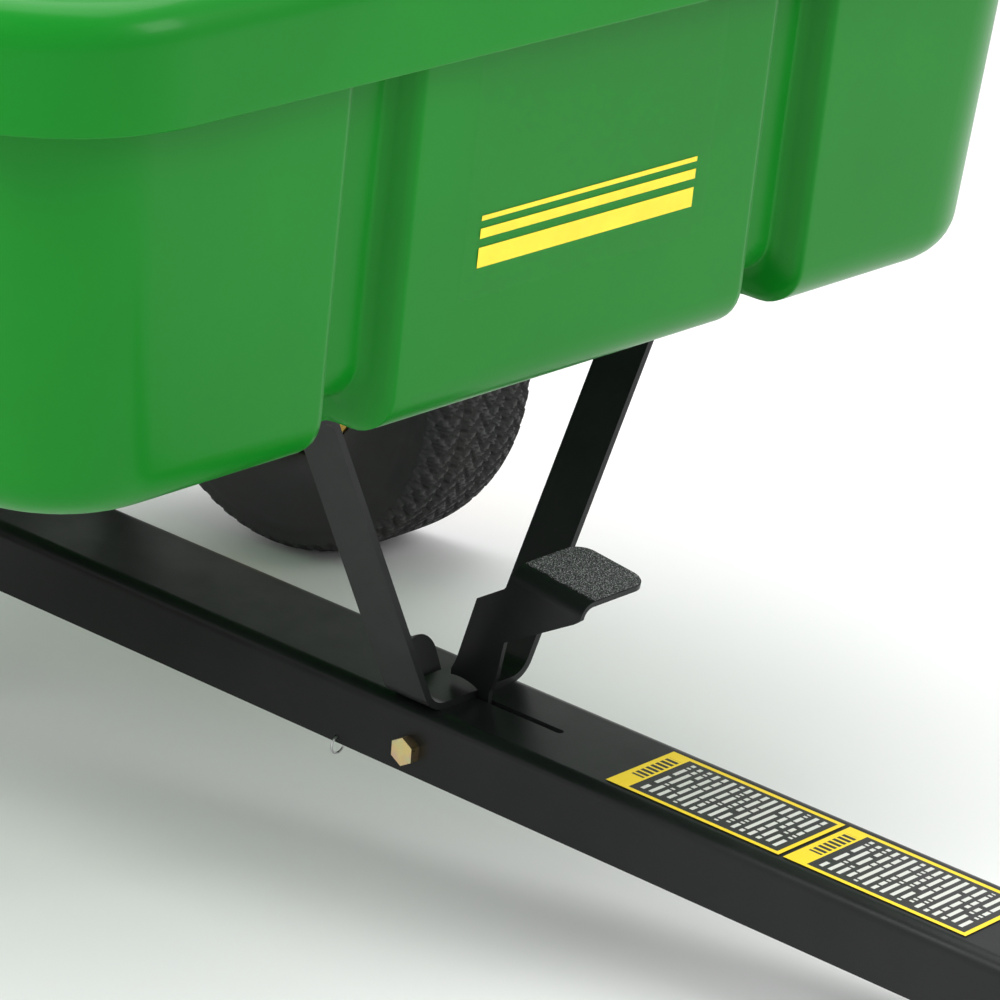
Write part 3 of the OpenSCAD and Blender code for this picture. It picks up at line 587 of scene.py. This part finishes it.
def valve_rubber():
    """Smooth black rubber of the valve stem."""
    f = Finish("valve_rubber", IOR=1.45)
    f.feed("Base Color", f.mix(f.noise(90.0), rgba(0.012, 0.012, 0.012), rgba(0.028, 0.028, 0.028)))
    f.feed("Roughness", f.span(f.noise(160.0), 0.3, 0.7, 0.45, 0.6))
    return f.material


def clear_film():
    """Clear film with three plain yellow stripes of its own, read from the sheet's UV map."""
    f = Finish("clear_film", IOR=1.45, Coat_Roughness=0.05)
    uv = f.node("ShaderNodeTexCoord", output="UV")
    u = f.node("ShaderNodeSeparateXYZ", inputs={0: uv}, output=0)
    v = f.node("ShaderNodeSeparateXYZ", inputs={0: uv}, output=1)
    inside = u.between(0.06, 0.94)
    stripes = (v.between(0.12, 0.20) + v.between(0.235, 0.275) + v.between(0.305, 0.325)) * inside
    tone = f.span(f.noise(50.0), 0.3, 0.7, 0, 1)
    yellow = f.mix(tone, rgba(0.86, 0.66, 0.01), rgba(0.93, 0.74, 0.02))
    f.feed("Base Color", f.mix(stripes, rgba(0.02, 0.30, 0.03), yellow))
    f.feed("Alpha", stripes * 0.92 + 0.08)
    f.feed("Roughness", f.span(f.noise(12.0), 0.3, 0.7, 0.14, 0.22))
    return f.material


def bar_label():
    """Printed label read from its UV map, with no letters: a yellow edge and header, a black field
    and rows of short white bars, whose gaps come from one random number for each place."""
    f = Finish("bar_label", IOR=1.45)
    uv = f.node("ShaderNodeTexCoord", output="UV")
    u = f.node("ShaderNodeSeparateXYZ", inputs={0: uv}, output=0)
    v = f.node("ShaderNodeSeparateXYZ", inputs={0: uv}, output=1)
    field = u.between(0.115, 0.975) * v.between(0.05, 0.95)
    header = u.between(0.03, 0.10) * v.between(0.30, 0.86) * ((v * 14.0).part() < 0.62)
    rows, columns, row_step = 21.0, 34.0, 41.7
    row = (u * rows).whole()
    column = (v * columns).whole()
    key = f.node("ShaderNodeTexWhiteNoise", {"noise_dimensions": "1D"}, {"W": row * row_step + column})
    ink = (u * rows).part().between(0.26, 0.72) * (key > 0.20)
    ink = ink * u.between(0.15, 0.945) * v.between(0.12, 0.90)
    paint = f.mix(field, rgba(0.86, 0.62, 0.01), rgba(0.010, 0.010, 0.010))
    paint = f.mix(ink, paint, rgba(0.62, 0.62, 0.58))
    f.feed("Base Color", f.mix(header, paint, rgba(0.012, 0.012, 0.012)))
    f.feed("Roughness", f.span(f.noise(120.0), 0.3, 0.7, 0.30, 0.42))
    return f.material


def stage_floor():
    """Pale studio floor with a barely seen unevenness."""
    f = Finish("studio_floor")
    f.feed("Base Color", f.mix(f.noise(1.5), rgba(0.88, 0.88, 0.88), rgba(0.91, 0.91, 0.91)))
    f.feed("Roughness", f.span(f.noise(3.0), 0.3, 0.7, 0.55, 0.65))
    return f.material


# ---- operators ----------------------------------------------------------------------------------

class CART_OT_paint_frame(bpy.types.Operator):
    """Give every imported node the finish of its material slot"""

    bl_idname = "cart.paint_frame"
    bl_label = "Paint the frame"

    def execute(self, context):
        green = tuple(context.scene.cart_tub.green)
        finishes = {
            "tub": moulded_green(green), "steel": satin_black(), "axle": turned_steel("bright_steel", 0.62),
            "zinc": zinc_yellow(), "rim": rim_yellow(), "tyre": tyre_rubber(), "nylon": plain_nylon(),
            "film": clear_film(), "label": bar_label(), "grip": grit_strip(), "valve": valve_rubber(),
        }
        for part in RECORD["subparts"]:
            mesh = frame["nodes"][part["node"]].data
            mesh.materials.clear()
            mesh.materials.append(finishes[part["material_slot"]])
        return {"FINISHED"}


class CART_OT_build_tub(bpy.types.Operator):
    """Build the moulded tub with its rolled rim and its grooves"""

    bl_idname = "cart.build_tub"
    bl_label = "Tub"

    def execute(self, context):
        vertices, faces = tub_surface(context.scene.cart_tub)
        tub = piece("tub_skin", vertices, faces, bpy.data.materials["moulded_green"], "tub")
        even_normals(tub)
        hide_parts("tub_shell")
        return {"FINISHED"}


class CART_OT_build_tyres(bpy.types.Operator):
    """Build the two treaded tyres"""

    bl_idname = "cart.build_tyres"
    bl_label = "Tyres"

    def execute(self, context):
        for side in ("left", "right"):
            centre = np.array(JOINTS[f"wheel_{side}_spin"]["pos_m"])
            vertices, faces = tyre_surface(context.scene.cart_wheel, centre)
            tyre = piece(f"tread_{side}", vertices, faces, bpy.data.materials["tyre_rubber"],
                         f"wheel_{side}")
            even_normals(tyre)
            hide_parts(f"tyre_{side}")
        return {"FINISHED"}


class CART_OT_build_film(bpy.types.Operator):
    """Build the film on the front wall and the two labels on the tongue"""

    bl_idname = "cart.build_film"
    bl_label = "Film and labels"

    def execute(self, context):
        tub, tongue = context.scene.cart_tub, context.scene.cart_tongue
        top = tub.lift + tub.height
        lowest, highest = tub.lift + tub.film_up, top - tub.skirt - tub.film_gap
        u, v = np.meshgrid(*(np.linspace(0, 1, n) for n in SHEET_CELLS), indexing="ij")
        x, z = (u - 0.5) * tub.film_wide, lowest + v * (highest - lowest)
        y = -(tub.ahead - tub.overhang) + (top - z) * math.tan(tub.lean_front) - SHEET_PROUD
        uv = np.stack([u, v], -1).reshape(-1, 2)
        film = piece("film_sheet", stand(np.stack([x, y, z], -1)).reshape(-1, 3), grid_faces(*SHEET_CELLS),
                     bpy.data.materials["clear_film"], "tub", uv=uv)
        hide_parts("front_decal")
        places, faces = [], []
        for i in range(2):
            rear = -tongue.label_ahead - i * (tongue.label_long + tongue.label_gap)
            across = (v - 0.5) * tongue.label_wide
            places.append(np.stack([across, rear - u * tongue.label_long, np.full_like(u, SHEET_PROUD)], -1))
            faces.append(grid_faces(*SHEET_CELLS) + i * u.size)
        labels = piece("bar_labels", stand(np.array(places)).reshape(-1, 3), np.vstack(faces),
                       bpy.data.materials["bar_label"], "tongue", uv=np.vstack([uv, uv]))
        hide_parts("tongue_labels")
        return {"FINISHED"}


class CART_OT_build_spring(bpy.types.Operator):
    """Build the latch's return spring with its two end loops"""

    bl_idname = "cart.build_spring"
    bl_label = "Return spring"

    def execute(self, context):
        s = context.scene.cart_tongue
        start = np.array(s.coil_from)
        line = np.array(s.coil_to) - start
        axis = line / np.linalg.norm(line)
        first = np.cross(axis, [0, 0, 1])
        first /= np.linalg.norm(first)
        second = np.cross(axis, first)
        turns = int(np.linalg.norm(line) / (s.wire * s.coil_pitch))
        steps = 14
        t = np.linspace(0, 1, turns * steps + 1)[:, None]
        a = 2 * np.pi * turns * t
        radius = (s.coil - s.wire) / 2
        helix = start + t * line + radius * (np.cos(a) * first + np.sin(a) * second)
        b = np.linspace(0, 2 * np.pi, 32, endpoint=False)[:, None]
        ring = np.cos(b) * [1, 0, 0] + np.sin(b) * [0, 0, 1]
        meshes = [sweep(helix, axis, s.wire / 2)]
        for at, loop in ((s.loop_at, s.loop), (s.small_loop_at, s.small_loop)):
            meshes.append(sweep(np.array(at) + loop * ring, [0, 1, 0], s.wire / 2, closed=True))
        faces, count = [], 0
        for points, quads in meshes:
            faces += [[i + count for i in f] for f in quads]
            count += len(points)
        spring = piece("return_spring", stand(np.vstack([m[0] for m in meshes])), faces,
                       turned_steel("spring_steel", 0.55), "tongue")
        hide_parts("latch_spring")
        return {"FINISHED"}


class CART_OT_set_stage(bpy.types.Operator):
    """Set the floor, the soft lights and the camera"""

    bl_idname = "cart.set_stage"
    bl_label = "Stage"

    def execute(self, context):
        s = context.scene.cart_stage
        half = s.floor_span / 2
        mesh = bpy.data.meshes.new("floor")
        corners = [(-half, -half, 0), (half, -half, 0), (half, half, 0), (-half, half, 0)]
        mesh.from_pydata(corners, [], [(0, 1, 2, 3)])
        mesh.materials.append(stage_floor())
        floor = bpy.data.objects.new("floor", mesh)
        context.scene.collection.objects.link(floor)
        world = bpy.data.worlds.new("studio")
        world.use_nodes = True
        world.node_tree.nodes["Background"].inputs["Color"].default_value = rgba(1.0, 1.0, 1.0)
        world.node_tree.nodes["Background"].inputs["Strength"].default_value = SKY_STRENGTH
        context.scene.world = world
        context.scene.view_settings.view_transform = "Standard"
        for made in LAMPS:
            light = bpy.data.lights.new(made["name"], "AREA")
            light.shape = "SQUARE"
            light.size = made["size"]
            light.energy = made["power"]
            lamp = bpy.data.objects.new(made["name"], light)
            lamp.location = made["place"]
            lamp.rotation_mode = "QUATERNION"
            lamp.rotation_quaternion = (Vector(LAMP_AIM) - lamp.location).to_track_quat("-Z", "Y")
            context.scene.collection.objects.link(lamp)
        level = math.cos(s.elevation)
        back = Vector((math.sin(s.azimuth) * level, -math.cos(s.azimuth) * level, math.sin(s.elevation)))
        camera = bpy.data.objects.new("camera", bpy.data.cameras.new("camera"))
        camera.data.lens = s.lens
        camera.data.sensor_width = SENSOR
        camera.location = Vector(s.aim) + back * s.distance
        camera.rotation_mode = "QUATERNION"
        camera.rotation_quaternion = (-back).to_track_quat("-Z", "Y")
        context.scene.collection.objects.link(camera)
        context.scene.camera = camera
        return {"FINISHED"}


class CART_PT_panel(bpy.types.Panel):
    """Offers the steps that build the cart"""

    bl_label = "Tow behind cart"
    bl_idname = "CART_PT_panel"
    bl_space_type = "VIEW_3D"
    bl_region_type = "UI"
    bl_category = "Cart"

    def draw(self, context):
        for step in STEPS:
            self.layout.operator(step.bl_idname)


STEPS = (CART_OT_set_stage, CART_OT_paint_frame, CART_OT_build_tub, CART_OT_build_tyres,
         CART_OT_build_film, CART_OT_build_spring)
GROUPS = {"cart_tub": CartTubSizes, "cart_wheel": CartWheelSizes, "cart_tongue": CartTongueSizes,
          "cart_stage": CartStageSizes}


def register():
    for cls in (*GROUPS.values(), *STEPS, CART_PT_panel):
        bpy.utils.register_class(cls)
    for name, cls in GROUPS.items():
        setattr(bpy.types.Scene, name, PointerProperty(type=cls))


def unregister():
    for name in GROUPS:
        delattr(bpy.types.Scene, name)
    for cls in reversed((*GROUPS.values(), *STEPS, CART_PT_panel)):
        bpy.utils.unregister_class(cls)


def main():
    register()
    bpy.ops.cart.set_stage()
    bpy.ops.cart.paint_frame()
    bpy.ops.cart.build_tub()
    bpy.ops.cart.build_tyres()
    bpy.ops.cart.build_film()
    bpy.ops.cart.build_spring()


if __name__ == "__main__":
    main()
